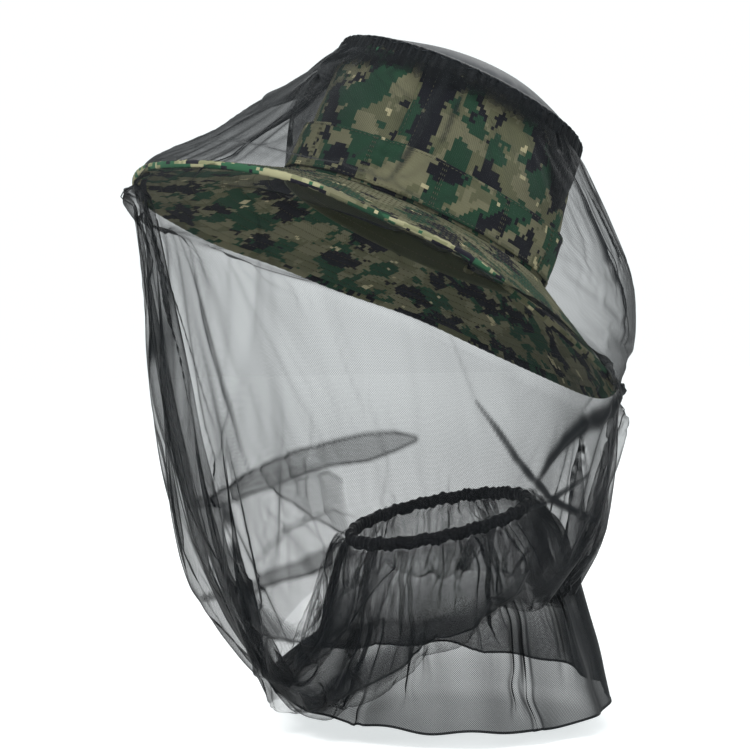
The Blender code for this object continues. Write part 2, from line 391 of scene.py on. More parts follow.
class Nodes:
    """Short calls for building a material's node tree."""

    def __init__(self, name):
        self.material = bpy.data.materials.new(name)
        self.material.use_nodes = True
        self.tree = self.material.node_tree
        self.shader = self.tree.nodes["Principled BSDF"]

    def add(self, kind, inputs=(), **settings):
        node = self.tree.nodes.new(kind)
        for key, value in settings.items():
            setattr(node, key, value)
        for socket, value in dict(inputs).items():
            self.feed(node.inputs[socket], value)
        return node

    def feed(self, socket, value):
        if isinstance(value, bpy.types.NodeSocket):
            self.tree.links.new(value, socket)
        elif isinstance(value, tuple) and len(value) == 3 and socket.type == "RGBA":
            socket.default_value = (*value, 1.0)
        else:
            socket.default_value = value

    def maths(self, operation, a, b=0.0, c=0.5, clamp=False):
        return self.add("ShaderNodeMath", {0: a, 1: b, 2: c}, operation=operation, use_clamp=clamp).outputs[0]

    def vector(self, operation, a, b=(0.0, 0.0, 0.0)):
        return self.add("ShaderNodeVectorMath", {0: a, 1: b}, operation=operation).outputs[0]

    def flat(self):
        return self.add("ShaderNodeUVMap", uv_map="UVMap").outputs[0]

    def noise(self, where, scale, detail=2.0, roughness=0.5):
        inputs = {"Vector": where, "Scale": scale, "Detail": detail, "Roughness": roughness}
        return self.add("ShaderNodeTexNoise", inputs).outputs["Fac"]

    def blend(self, share, a, b):
        return self.add("ShaderNodeMix", {0: share, 6: a, 7: b}, data_type="RGBA").outputs[2]

    def bump(self, height, strength, distance):
        node = self.add("ShaderNodeBump", {"Height": height, "Strength": strength, "Distance": distance})
        self.feed(self.shader.inputs["Normal"], node.outputs[0])

    def set(self, **sockets):
        """Feeds sockets of the shader, whose names have _ for a space, and gives the material."""
        for name, value in sockets.items():
            self.feed(self.shader.inputs[name.replace("_", " ")], value)
        return self.material


def twill_height(nodes, flat, pitch=0.0007):
    """Fine diagonal ribs of a twill, as a height from 0 to 1."""
    parts = nodes.add("ShaderNodeSeparateXYZ", {0: flat}).outputs
    slanted = nodes.maths("ADD", parts[0], nodes.maths("MULTIPLY", parts[1], 1.4))
    wave = nodes.maths("SINE", nodes.maths("MULTIPLY", slanted, tau / pitch))
    return nodes.maths("MULTIPLY_ADD", wave, 0.5, 0.5)


def camouflage():
    """Small-square camouflage printed on cotton twill."""
    nodes = Nodes("camouflage_twill")
    flat = nodes.flat()
    square = nodes.vector("SNAP", flat, (CAMO_SQUARE,) * 3)
    speckle = nodes.add("ShaderNodeTexWhiteNoise", {"Vector": square}, noise_dimensions="3D").outputs[0]
    stray = nodes.maths("MULTIPLY", nodes.maths("SUBTRACT", speckle, 0.5), 0.030)

    def blotches(offset, scale, detail, limit):
        where = nodes.vector("ADD", square, offset)
        field = nodes.maths("ADD", nodes.noise(where, scale, detail, 0.62), stray)
        return nodes.maths("GREATER_THAN", field, limit)

    khaki, moss = (0.300, 0.290, 0.168), (0.200, 0.204, 0.108)
    base = nodes.blend(blotches((3.0, 1.0, 0.0), 30.0, 2.0, 0.5), khaki, moss)
    green = nodes.blend(blotches((0.0, 0.0, 0.0), 29.0, 2.6, 0.518), base, (0.020, 0.088, 0.042))
    cream = nodes.blend(blotches((9.0, 4.0, 0.0), 62.0, 2.0, 0.668), green, (0.80, 0.72, 0.42))
    dark = nodes.blend(blotches((5.0, 7.0, 0.0), 30.0, 2.8, 0.553), cream, (0.007, 0.007, 0.014))
    worn_spots = nodes.noise(flat, 55.0, 4.0, 0.6)
    value = nodes.maths("MULTIPLY_ADD", worn_spots, 0.36, 0.77)
    faded = nodes.add("ShaderNodeHueSaturation", {"Color": dark, "Saturation": 0.97, "Value": value})
    nodes.bump(nodes.maths("ADD", twill_height(nodes, flat), nodes.noise(flat, 900.0)), 0.35, 0.0002)
    roughness = nodes.maths("MULTIPLY_ADD", worn_spots, 0.12, 0.80)
    nodes.set(Sheen_Weight=0.04, Sheen_Roughness=0.6, Specular_IOR_Level=0.25)
    return nodes.set(Base_Color=faded.outputs[0], Roughness=roughness)


def plain_cloth(name, colour, other, roughness, pitch=0.0008, sheen=0.15, gloss=0.4):
    """A woven cloth of one dye, uneven between two near colours."""
    nodes = Nodes(name)
    flat = nodes.flat()
    cloudy = nodes.noise(flat, 60.0, 4.0, 0.6)
    thread = nodes.noise(flat, 1400.0, 1.0)
    tone = nodes.maths("MULTIPLY_ADD", thread, 0.5, nodes.maths("MULTIPLY", cloudy, 0.5), True)
    nodes.bump(nodes.maths("ADD", twill_height(nodes, flat, pitch), thread), 0.3, 0.0002)
    nodes.set(Sheen_Weight=sheen, Specular_IOR_Level=gloss)
    return nodes.set(Base_Color=nodes.blend(tone, colour, other), Roughness=roughness)


def netting():
    """Fine black netting. The mesh attribute "layers" says how many layers of it lie at each place.

    A thread stands proud, so it hides more at a slant: what shows through falls off with the layers passed.
    """
    nodes = Nodes("black_netting")
    flat = nodes.flat()
    parts = nodes.add("ShaderNodeSeparateXYZ", {0: flat}).outputs
    layers = nodes.add("ShaderNodeAttribute", attribute_name="layers").outputs["Fac"]
    slant = nodes.add("ShaderNodeLayerWeight", {"Blend": 0.5}).outputs["Facing"]
    facing = nodes.maths("MAXIMUM", nodes.maths("SUBTRACT", 1.0, slant), 0.16)
    threads = 0.0
    for sign in (1.0, -1.0):
        slanted = nodes.maths("MULTIPLY_ADD", parts[1], sign, parts[0])
        wave = nodes.maths("SINE", nodes.maths("MULTIPLY", slanted, tau / NET_MESH))
        threads = nodes.maths("ADD", nodes.maths("POWER", nodes.maths("ABSOLUTE", wave), 6.0), threads)
    uneven = nodes.maths("MULTIPLY_ADD", threads, 0.70, 0.56)
    passed = nodes.maths("MULTIPLY", nodes.maths("DIVIDE", layers, facing), uneven)
    through = nodes.maths("POWER", 1.0 - NET_COVER, passed)
    hidden = nodes.maths("SUBTRACT", 1.0, through, clamp=True)
    cloudy = nodes.noise(flat, 30.0, 3.0)
    colour = nodes.blend(cloudy, (0.004, 0.005, 0.006), (0.009, 0.011, 0.013))
    nodes.set(Sheen_Weight=0.03, Sheen_Roughness=0.35, Specular_IOR_Level=0.12)
    return nodes.set(Base_Color=colour, Roughness=0.55, Alpha=hidden)


def floor_cloth():
    nodes = Nodes("studio_floor")
    seen = nodes.add("ShaderNodeLightPath").outputs["Is Camera Ray"]
    glow = nodes.maths("MULTIPLY_ADD", seen, 0.55, 0.05)
    nodes.set(Emission_Color=STUDIO_WHITE)
    return nodes.set(Base_Color=(0.6, 0.6, 0.6), Roughness=0.9, Emission_Strength=glow)


# The hat


def crown_unevenness(place, turn, share):
    """How far the worn crown stands off its even shape: soft dents, and puckers at its seams and top."""
    soft = 0.0026 * ripple(place, 0.050, 3) + 0.0007 * ripple(place, 0.018, 4)
    off_seam = np.abs((turn - CROWN_SEAM_TURN + pi / 2) % pi - pi / 2) * HEAD_WIDTH / 2
    groove = -0.0017 * bump(off_seam, 0.0018) + 0.0011 * bump(off_seam - 0.006, 0.0035)
    upper = smoothstep((share - 0.30) / 0.35)
    slump = -0.0042 * bump(off_seam - 0.002, 0.011) * upper * (1 - 0.5 * smoothstep((share - 0.8) / 0.2))
    pucker = 0.0004 * np.sin(share * 70) * bump(off_seam, 0.012)
    gathered = 0.0006 * np.sin(turn * 52 + 2 * np.sin(turn * 7)) * bump(1 - share, 0.12)
    crease_at = 0.95 - 0.55 * np.abs(wrapped(turn - radians(-4))) / radians(50)
    crease = -0.0022 * bump(share - crease_at, 0.09) * near_turn(turn, 10, 28)
    edges = ramp(share / 0.06) * np.clip((1 - share) / 0.04, 0.2, 1)
    return (soft + crease + slump) * edges + groove + pucker + gathered


def make_crown(looks):
    """The two side panels with their felled seams, and the domed top."""
    lines = []
    lap = 0.0006 / HEAD_RADIUS
    for name, start in (("crown_rear_panel", 0.0), ("crown_front_panel", pi)):
        first = CROWN_SEAM_TURN + start
        turn, share = turns_and_shares(170, 0.02, 0.994, 48, first - lap, first + pi + lap)
        even = crown_wall(turn, share)
        shape = raised(even, crown_unevenness(even, turn, share))
        uv = np.stack([turn * HEAD_RADIUS + start, share * CROWN_HEIGHT], axis=-1)
        piece = cloth_grid(name + "_cloth", worn(shape), uv, looks["camouflage"])
        thicken(piece, WALL, -1.0)
        place_with(piece, "hat", "camouflage_twill", name)
        normals = worn(grid_normals(shape))
        for column in (2, 7):
            lines.append((worn(shape)[column, 2:], normals[column, 2:]))
    make_crown_top(looks)
    return lines


def crown_top_lift(place, share):
    """Soft dents in the crown's top, which the veil's top panel lies in."""
    return 0.0012 * ripple(place * np.array([1.0, 1.0, 0.0]), 0.05, 8) * ramp((1 - share) / 0.1)


def make_crown_top(looks):
    turn, share = turns_and_shares(161, 0.004, 1.0, 36)
    even = crown_top(turn, share)
    even[..., 2] += crown_top_lift(even, share)
    uv = even[..., :2] + 4.0
    look = looks["camouflage"]
    hat_cloth("crown_top_cloth", even, uv, look, WALL, "camouflage_twill", "crown_top_panel", True)


def band_shape(turn, share):
    """The foliage band's surface: it stands off the crown between its tacks."""
    on_crown = (BAND_LOW + share * BAND_HEIGHT) / CROWN_HEIGHT
    even = crown_wall(turn, on_crown)
    between = np.abs(np.sin((turn - BAND_FIRST_TACK) * BAND_TACKS / 2)) ** 0.6
    edge_wave = 0.0008 * ripple(even, 0.03, 21) * (0.3 + 0.7 * share)
    stand = WALL / 2 + 0.0012 + between * (0.0009 + 0.0006 * share) + edge_wave
    return raised(even, crown_unevenness(even, turn, on_crown) + stand)


def make_band(looks):
    columns = 400
    turn, share = turns_and_shares(columns + 1, 0.0, 1.0, 22)
    shape = band_shape(turn, share)
    uv = np.stack([turn * HEAD_RADIUS + 2.0, share * BAND_HEIGHT + 1.3], axis=-1)
    look = looks["camouflage"]
    hat_cloth("foliage_band_cloth", shape, uv, look, BAND_THICK, "camouflage_twill", "foliage_band")
    lines = []
    normals = grid_normals(shape)
    for row in (1, -2):
        lines.append((worn(shape + normals * 0.0007)[:, row], worn(normals)[:, row]))
    for tack in range(BAND_TACKS):
        column = round((BAND_FIRST_TACK / tau + tack / BAND_TACKS) * columns)
        for offset in (-1, 0, 1):
            at = (column + offset) % columns
            lines.append((worn(shape + normals * 0.0008)[at, 1:-1], worn(normals)[at, 1:-1]))
    return lines


def brim_wave(place, share):
    return 0.0016 * ripple(place, 0.075, 11) * share**1.5


def make_brim(looks):
    """Both cloth plies with their rows of stitches, and the folded edge binding."""
    lines = []
    width = (BRIM_LENGTH - HEAD_LENGTH) / 2
    for name, side, seed in (("brim_top_ply", -1, 31), ("brim_under_ply", 1, 32)):
        turn, share = turns_and_shares(361, 0.0, 1.0, 62)
        even = brim(turn, share)
        down = grid_normals(even)
        wave = brim_wave(even, share)
        quilt = 0.00038 * (np.abs(np.sin(pi * share * width / STITCH_ROW_PITCH)) ** 0.7 - 0.6)
        proud = PLY_LIFT + quilt + 0.00012 * ripple(even, 0.008, seed)
        shape = even + down * (side * proud + wave)[..., None]
        uv = even[..., :2] + (7.0 if side < 0 else 12.0)
        look = looks["camouflage"]
        hat_cloth(name + "_cloth", shape, uv, look, CLOTH, "camouflage_twill", name, flip=side < 0)
        outward = worn(down * side)
        for row in range(1, int(width / STITCH_ROW_PITCH)):
            at = row * STITCH_ROW_PITCH / width * 61
            low = int(at)
            line = mix(shape[:, low], shape[:, low + 1], at - low) + side * down[:, low] * 0.0006
            lines.append((worn(line), outward[:, low]))
    make_stiffener(looks)
    make_binding(looks)
    return lines


def make_stiffener(looks):
    """The interlining between the plies, which bends with them."""
    turn, share = turns_and_shares(241, 0.03, 0.985, 30)
    even = brim(turn, share)
    shape = raised(even, brim_wave(even, share))
    look = looks["interlining"]
    hat_cloth("brim_interlining", shape, even[..., :2], look, CLOTH, "brim_interlining", "brim_stiffener")


def make_binding(looks):
    """Tape folded round the brim's edge, puckered a little by its stitching."""
    turn = np.linspace(0, tau, 421)
    edge = brim(turn, 1.0)
    out = edge - brim(turn, 0.97)
    out /= norm(out, axis=1, keepdims=True)
    around = np.gradient(edge, axis=0)
    around /= norm(around, axis=1, keepdims=True)
    up = np.cross(out, around)
    edge = edge - up * brim_wave(edge, 1.0)[:, None]
    rounds = 18
    angle = np.linspace(0, tau, rounds, endpoint=False)
    across = np.where(np.cos(angle) > 0, 0.0018 * np.cos(angle), 0.0085 * np.cos(angle))
    high = 0.0026 * np.sign(np.sin(angle)) * np.abs(np.sin(angle)) ** 0.55
    pucker = 1 + 0.09 * np.sin(turn * 150 + 1.5 * np.sin(turn * 11))
    shape = edge[:, None] + out[:, None] * across[None, :, None]
    shape = shape + up[:, None] * (high[None, :] * pucker[:, None])[..., None]
    shape = np.concatenate([shape, shape[:, :1]], axis=1)
    length = np.cumsum(norm(np.gradient(edge, axis=0), axis=1))
    uv = flat_grid(length + 20.0, np.linspace(0, BINDING_WIDTH, rounds + 1))
    piece = cloth_grid("brim_edge_tape", worn(shape), uv, looks["camouflage"], flip=True)
    weld_seam(piece)
    place_with(piece, "hat", "camouflage_twill", "brim_edge_binding")


def make_sweatband(looks):
    turn, share = turns_and_shares(181, -0.02, 0.34, 18)
    even = crown_wall(turn, share)
    slack = 0.0009 + 0.0005 * ripple(even, 0.025, 41) + 0.0012 * smoothstep((share - 0.1) / 0.2)
    shape = raised(even, -WALL - np.maximum(slack, 0.0004))
    uv = np.stack([turn * 0.094, share * CROWN_HEIGHT], axis=-1)
    hat_cloth("sweatband_cloth", shape, uv, looks["lining"], 0.0010, "sweatband_cotton", "sweatband", True)
    inward = -worn(grid_normals(shape))
    return [(worn(shape)[:, row] + inward[:, row] * 0.0006, inward[:, row]) for row in (3, 16)]


def make_hat(looks):
    lines = make_crown(looks) + make_band(looks) + make_brim(looks) + make_sweatband(looks)
    thread = stitches("hat_stitches", lines, looks["thread"])
    lay_flat(thread.data)
    place_with(thread, "hat", "camouflage_twill")


# The veil


def add_layers(piece, layers):
    attribute = piece.data.attributes.new("layers", "FLOAT", "POINT")
    attribute.data.foreach_set("value", np.asarray(layers, dtype=np.float32).ravel())


def half_round(name, first, points, layers, around, down, looks, offset=0):
    """One panel of a round of net, which is cut around wide and down long: its half from column first on."""
    columns, rows = layers.shape
    order = np.arange(first, first + columns // 2 + 1)
    uv = flat_grid(order / columns * around + offset, np.arange(rows) / rows * down)
    order = order % columns
    piece = cloth_grid(name + "_net", points[order], uv, looks["net"], flip=True)
    add_layers(piece, layers[order])
    return piece


def make_veil_top(looks):
    """The smooth oval over the crown, drawn tight, with short radial tucks at its edge."""
    turn, share = turns_and_shares(241, 0.004, 1.03, 44)
    even = crown_top(turn, np.minimum(share, 1.0))
    even = even + oval(turn, 1.0, 1.0) * np.maximum(share - 1.0, 0)[..., None] * 0.09
    tucks = 0.0011 * np.sin(turn * 34 + 1.4 * np.sin(turn * 5)) * bump(1.03 - share, 0.16)
    soft = 0.0005 * ripple(even, 0.04, 51) * ramp((1 - share) / 0.2)
    even[..., 2] += 0.0030 + tucks + soft + crown_top_lift(even, share)
    look = looks["veil_top"]
    hat_cloth("veil_top_cloth", even, even[..., :2], look, 0.0005, "black_netting", "veil_top_panel", True)


def make_veil_top_seam(looks):
    """The bunched net sewn round the crown's top: two sheer strips of tucks that thin out down the crown."""
    for layer in range(2):
        rng = np.random.default_rng(60 + layer)
        turn, share = turns_and_shares(901, 0.0, 1.0, 15)
        swing = rng.uniform(0, tau)
        tuck = 0.5 * np.sin(turn * (61 + 22 * layer) + 2.6 * np.sin(turn * 7 + swing) + swing)
        tuck = tuck + 0.5 * np.sin(turn * (97 - 9 * layer) + 2.0 * np.sin(turn * 5 - swing))
        slow = 0.5 + 0.5 * np.sin(turn * 3 + swing) * np.sin(turn * 7 - swing)
        wide = near_turn(turn, -20, 60)
        behind = near_turn(turn, 131, 17)
        drop = 0.010 + 0.006 * slow + 0.009 * wide + 0.0015 * tuck - 0.003 * layer + 0.036 * behind
        inside = ramp(share / 0.35)
        down = ramp((share - 0.35) / 0.65)
        inset = 0.0035 * (1 - inside)
        height = CROWN_HEIGHT + 0.0028 * (1 - inside**2)
        start = oval(turn, CROWN_TOP_LENGTH / 2 - inset, CROWN_TOP_WIDTH / 2 - inset, -CROWN_LEAN, height)
        stand = 0.0016 + 0.0010 * layer + 0.0011 * tuck * np.sin(pi * share**0.7)
        flare = down * (0.0022 + 0.0012 * slow + 0.10 * drop * behind)
        points = start + oval(turn, 1.0, 1.0) * (stand * np.clip(share / 0.3, 0.3, 1) + flare)[..., None]
        points[..., 2] += 0.0032 * (1 - down) - down * drop
        uv = np.stack([turn * 0.3 + layer, share * 0.022], axis=-1)
        piece = cloth_grid(f"veil_top_tucks_{layer}", worn(points), uv, looks["net"])
        weld_seam(piece)
        add_layers(piece, 1.4 + 5.5 * (1 - down) ** 1.4 + 1.5 * tuck * (1 - down) + 1.6 * behind)
        place_with(piece, "hat", "black_seam_tape", *(["veil_top_seam"] if layer == 0 else []))


def drape_sections(turn):
    """The rings that the net passes: over the brim, down the bag to its fold, and in to the neck."""
    back = (1 - np.cos(turn)) / 2
    frontal = smoothstep((radians(105) - np.abs(wrapped(turn))) / radians(85))
    low = mix(BAG_LOW_BACK, BAG_LOW_FRONT, frontal)
    rim = CROWN_HEIGHT - 0.006
    start = oval(turn, CROWN_TOP_LENGTH / 2 + 0.004, CROWN_TOP_WIDTH / 2 + 0.004, -CROWN_LEAN, rim)
    edge = (BRIM_LENGTH / 2 + 0.0035, BRIM_WIDTH / 2 + 0.0035, -BRIM_SHIFT)
    over = worn(oval(turn, *edge, brim_edge_height(turn) + 0.006))
    under = worn(oval(turn, *edge, brim_edge_height(turn) - 0.008))
    start = worn(start)
    outward = oval(turn, 1.0, 1.0) + np.array([0, 0, 0.5])
    halfway = mix(start, over, 0.5) + outward * (0.027 * back**1.5)[:, None]
    later = mix(start, over, 0.82) + outward * (0.021 * back**1.5)[:, None]
    collar = neck_ring(turn, NECK_RADIUS + 0.0045, 0.003)
    fold = oval(turn, 0.112, 0.110, 0.010, low)
    tent = [start, halfway, later, over]
    bag = [
        over,
        under,
        oval(turn, 0.158, 0.152, -0.019, -0.150),
        oval(turn, 0.146, 0.139, -0.018, -0.215),
        oval(turn, 0.123, 0.120, 0.005, low + 0.020),
        fold,
    ]
    turn_in = [
        fold,
        oval(turn, 0.112, 0.109, 0.010, low + 0.019),
        oval(turn, 0.103, 0.101, 0.012, low + 0.004),
        oval(turn, 0.101, 0.099, 0.012, low + 0.022),
        neck_ring(turn, 0.094, -0.026),
        neck_ring(turn, 0.080, -0.007),
        collar,
    ]
    return [(tent, TENT_ROWS), (bag, BAG_ROWS), (turn_in, TURN_IN_ROWS)]


def even_columns(rings, rows, passes=3):
    """Points spaced evenly down each upright line through the rings, smoothed where it bends."""
    knots = np.stack(rings, axis=1)
    points = np.empty((len(knots), rows, 3))
    for column, line in enumerate(knots):
        reach = line_lengths(line)
        points[column] = along_line(np.linspace(0, reach[-1], rows), reach, line)
    return smoothed_down(points, passes)


def smooth_drape(turn):
    """The net's course without folds, as (columns, rows, 3)."""
    parts = [even_columns(rings, rows + 1)[:, :rows] for rings, rows in drape_sections(turn)]
    return smoothed_down(np.concatenate(parts, axis=1), 4)


def outward_normals(points):
    """Normals of a net that closes on itself round the columns, pointing out."""
    closed = np.concatenate([points[-1:], points, points[:1]], axis=0)
    return -grid_normals(closed)[1:-1]


def wander(columns, rows, counts, drift, seed):
    """A smooth unevenness that runs round the net and wanders down it."""
    rng = np.random.default_rng(seed)
    around = tau * np.arange(columns)[:, None] / columns
    down = np.linspace(0, 1, rows)[None, :]
    total = 0.0
    for count in counts:
        drifting = drift * rng.uniform(-1, 1) * down
        sway = drifting + 0.5 * np.sin(down * rng.uniform(4, 9) + rng.uniform(0, tau))
        total = total + rng.uniform(0.6, 1.2) * np.sin(count * around + sway + rng.uniform(0, tau))
    return total / math.sqrt(len(counts) / 2)


def turned_back(field, share_back, softness):
    """Where each ring of the net doubles back, from 0 to 1, over the wanted share of its cloth."""
    low = np.full(field.shape[1], -9.0)
    high = np.full(field.shape[1], 9.0)
    for _ in range(30):
        level = (low + high) / 2
        doubled = 1 / (1 + np.exp(-np.clip((field - level) / softness, -40, 40)))
        more = doubled.mean(axis=0) > share_back
        low = np.where(more, level, low)
        high = np.where(more, high, level)
    return doubled


def pleated(smooth, width, field, softness=0.10, stand=0.0026):
    """Lays the full width of the net along each ring by doubling it back on itself in pleats."""
    columns, rows = smooth.shape[:2]
    ratio = np.maximum(width / ring_lengths(smooth), 1.0)
    doubled = turned_back(field, (ratio - 1) / (2 * ratio), softness)
    stray = np.cumsum(ratio * (1 - 2 * doubled) - 1, axis=0)
    stray -= stray.mean(axis=0)
    place = (np.arange(columns)[:, None] + stray) % columns
    low = np.floor(place).astype(int)
    part = (place - low)[..., None]
    row = np.arange(rows)[None, :]
    normal = outward_normals(smooth)
    laid = smooth[low % columns, row] * (1 - part) + smooth[(low + 1) % columns, row] * part
    out = normal[low % columns, row] * (1 - part) + normal[(low + 1) % columns, row] * part
    step = np.roll(doubled, 2, axis=0) - np.roll(doubled, -2, axis=0)
    return laid + out * (stand * step)[..., None], out


def crease_share(points, route, width):
    """How near each point of the net is to a crease through (turn in degrees, height in millimetres) points.

    The crease is thinner and weaker towards its two ends.
    """
    turn = turn_of(points)
    nearest = np.zeros(points.shape[:2])
    legs = len(route) - 1
    for leg in range(legs):
        (turn_a, height_a), (turn_b, height_b) = route[leg], route[leg + 1]
        for part in np.linspace(0, 1, 24):
            full = math.sin(pi * min((leg + part) / legs, 1.0)) ** 0.6
            across = wrapped(turn - radians(mix(turn_a, turn_b, part))) * 0.155
            distance = np.hypot(across, points[..., 2] - mix(height_a, height_b, part) / MM)
            nearest = np.maximum(nearest, mix(0.3, 1.0, full) * bump(distance, width * mix(0.5, 1.0, full)))
    return nearest


def fold_shares(points, stations, soft=0.0016):
    """Where the net lies in a flat fold between two lines, and where that fold's edges are.

    The stations are (turn in degrees, lower and upper height in millimetres), in the order of their turns.
    """
    turn = np.degrees(turn_of(points))
    turns, low, high = np.array(stations, dtype=float).T
    above = points[..., 2] - np.interp(turn, turns, low / MM)
    below = np.interp(turn, turns, high / MM) - points[..., 2]
    along = smoothstep((turn - turns[0]) / 1.0) * smoothstep((turns[-1] - turn) / 1.0)
    inside = smoothstep(above / soft) * smoothstep(below / soft) * along
    edges = np.maximum(bump(above, soft), bump(below, soft)) * along
    return inside, edges


# The bag's flat folds: extra layers, how far the fold stands out, and its stations in the order of their
# turns, as (turn in degrees, lower height, upper height); lengths in millimetres
FLAT_FOLDS = [
    # The broad fold below the chin, its darker lap, and the net that hangs pressed from it to the collar
    (2.4, 4, (-121, -155, -153), (-114, -164, -149), (-106, -171, -150), (-94, -174, -156),
     (-83, -181, -162), (-75, -188, -169), (-65, -193, -179), (-54, -199, -189), (-44, -197, -195)),
    (2.6, 0, (-92, -175, -173), (-84, -180, -174), (-74, -186, -176), (-60, -187, -184)),
    (1.6, 2, (-98, -226, -186), (-93, -222, -178), (-84, -208, -182), (-74, -190, -188)),
    # The narrow fold below it
    (3, 3, (-98, -238, -227), (-84, -247, -236), (-72, -253, -243), (-60, -258, -250), (-48, -262, -257),
     (-36, -262, -261)),
    # Three folds low on the near side: a pointed one, a steep one and a long one that runs back to the collar
    (3.2, 3, (9, -262, -222), (13, -268, -243), (22, -269, -251), (32, -270, -263), (38, -272, -270)),
    (2.6, 3, (25, -293, -291), (30, -287, -274), (34, -283, -261), (38, -276, -246), (44, -259, -230),
     (50, -238, -215), (57, -216, -206)),
    (3, 2, (24, -322, -308), (34, -313, -300), (44, -303, -286), (53, -293, -274), (67, -278, -257),
     (81, -263, -240), (92, -238, -218)),
]

# Creases: extra layers, width, how far it stands out, and its route as (turn in degrees, height); lengths
# in millimetres
CREASES = [
    # Over the brim behind the near ear
    (9, 3.8, 3, (121, 40), (116, 9), (117, -17), (124, -45), (127, -75)),
    (4, 2, 2, (126, 28), (124, 4), (129, -28)),
    # Down the front of the bag
    (4, 2.2, 2, (11, -14), (12, -61), (16, -117), (21, -164)),
    (3, 4.2, 3, (-1, 4), (-4, -62), (-6, -145)),
    # Down the crown's near side
    (4, 4.8, 2, (80, 108), (67, 79), (61, 56)),
    (5, 2.4, 2, (64, 66), (61, 52), (56, 30)),
    (3, 2.2, 2, (88, 106), (75, 74), (66, 46)),
    # Across the far side, and along the lowest fold
    (4, 2.4, 3, (-56, -247), (-66, -233), (-74, -220), (-86, -210), (-94, -204), (-100, -212)),
    (3, 3, 2, (-8, -290), (2, -298), (19, -302), (33, -311)),
    # The bunched stroke from the brim's rear edge, and the thin creases that cross below it
    (14, 6.6, 2, (146, -104), (132, -112), (119, -121), (107, -131), (100, -140), (95, -151)),
    (10, 3.6, 1, (110, -127), (101, -139), (96, -150), (91, -164)),
    (14, 2.2, 1, (75, -110), (80, -128), (85, -147), (90, -161), (98, -176), (108, -187), (118, -194)),
    (8, 3.4, 1, (95, -172), (103, -182), (112, -190), (122, -198)),
    (10, 2.2, 1, (113, -160), (105, -170), (98, -177), (90, -182)),
    # Soft upright lines on the far side
    (1.6, 2.6, 3, (-66, -120), (-54, -180), (-44, -240)),
    (1, 2.6, 3, (-90, -130), (-86, -200), (-88, -250)),
]

# Where the net lies smooth, as (turn and half width in degrees, strength, whether over the brim), and where
# the surplus is laid in pleats instead: in the bag as (turn, half width, strength), over the brim as (turn,
# half width)
SMOOTH_SPANS = [(104, 38, 3.0, True), (180, 32, 3.0, True), (-86, 30, 4.0, False), (72, 32, 2.4, False)]
BAG_PLEATS = [(-6, 5.4, 3.4), (-47, 3.5, 2.0), (152, 4.5, 2.6)]
TENT_PLEATS = [(119, 0.8), (135, 0.9), (-95, 15.0)]
FRONT_TURN = -12


def net_start():
    """Where the net is before it settles, and its course without folds."""
    turn = VEIL_SEAM_TURN + tau * np.arange(NET_COLUMNS) / NET_COLUMNS
    smooth = smooth_drape(turn)
    rows = np.arange(NET_ROWS)[None, :]
    near_top = bump(rows, 9.0)
    near_neck = bump(NET_ROWS - rows, 22.0)
    tent = smoothstep((TENT_ROWS + 6 - rows) / 8)
    bag = 1 - tent
    broad = wander(NET_COLUMNS, NET_ROWS, (7, 9, 11, 14), 3.0, 5)
    fine = wander(NET_COLUMNS, NET_ROWS, (38, 45, 53), 3.0, 6)
    share = ramp(near_top + near_neck)
    front = near_turn(turn, FRONT_TURN, 66)[:, None]
    strips = np.cos(13 * turn + 0.8 * np.sin(3 * turn))[:, None] * 1.8 * front
    field = broad * (1 - share) * (1 - tent * front) + fine * share * (1 - tent) + strips * tent
    field = field + 0.5 * fine * bump(rows, 5.0)
    around = turn[:, None]
    for place, width, strength, in_tent in SMOOTH_SPANS:
        where = tent if in_tent else bag * (1 - near_neck)
        field = field - strength * plateau(around, place, width) * where
    for place, width, strength in BAG_PLEATS:
        field = field + strength * plateau(around, place, width) * (1 - share) * bag
    for place, width in TENT_PLEATS:
        field = field + 3.5 * plateau(around, place, width) * tent
    points, out = pleated(smooth, NET_AROUND * drawn_in(smooth), field)
    uneven = 0.0030 * wander(NET_COLUMNS, NET_ROWS, (5, 7, 12), 4.0, 7) * (1 - share) * (1 - 0.7 * tent)
    return points + out * uneven[..., None], smooth


def finer(grid):
    """Twice as many columns and four times as many rows through a grid that closes on itself."""
    before, after, beyond = (np.roll(grid, shift, axis=0) for shift in (1, -1, -2))
    between = (9 * (grid + after) - before - beyond) / 16
    grid = np.stack([grid, between], axis=1).reshape(-1, *grid.shape[1:])
    return finer_down(finer_down(grid))


def finer_down(grid):
    """Twice as many rows through a grid."""
    padded = np.concatenate([grid[:, :1], grid, grid[:, -1:]], axis=1)
    between = (9 * (padded[:, 1:-2] + padded[:, 2:-1]) - padded[:, :-3] - padded[:, 3:]) / 16
    woven = np.stack([grid[:, :-1], between], axis=2).reshape(grid.shape[0], -1, *grid.shape[2:])
    return np.concatenate([woven, grid[:, -1:]], axis=1)


def drawn_in(smooth):
    """The share of its cut width that each ring of the net has: less where gathering stitches draw it in."""
    rows = np.arange(NET_ROWS)
    gathered = np.maximum(bump(rows, 8.0), bump(NET_ROWS - 1 - rows, 10.0))
    return mix(1.0, np.minimum(ring_lengths(smooth) * 1.8 / NET_AROUND, 1.0), gathered)


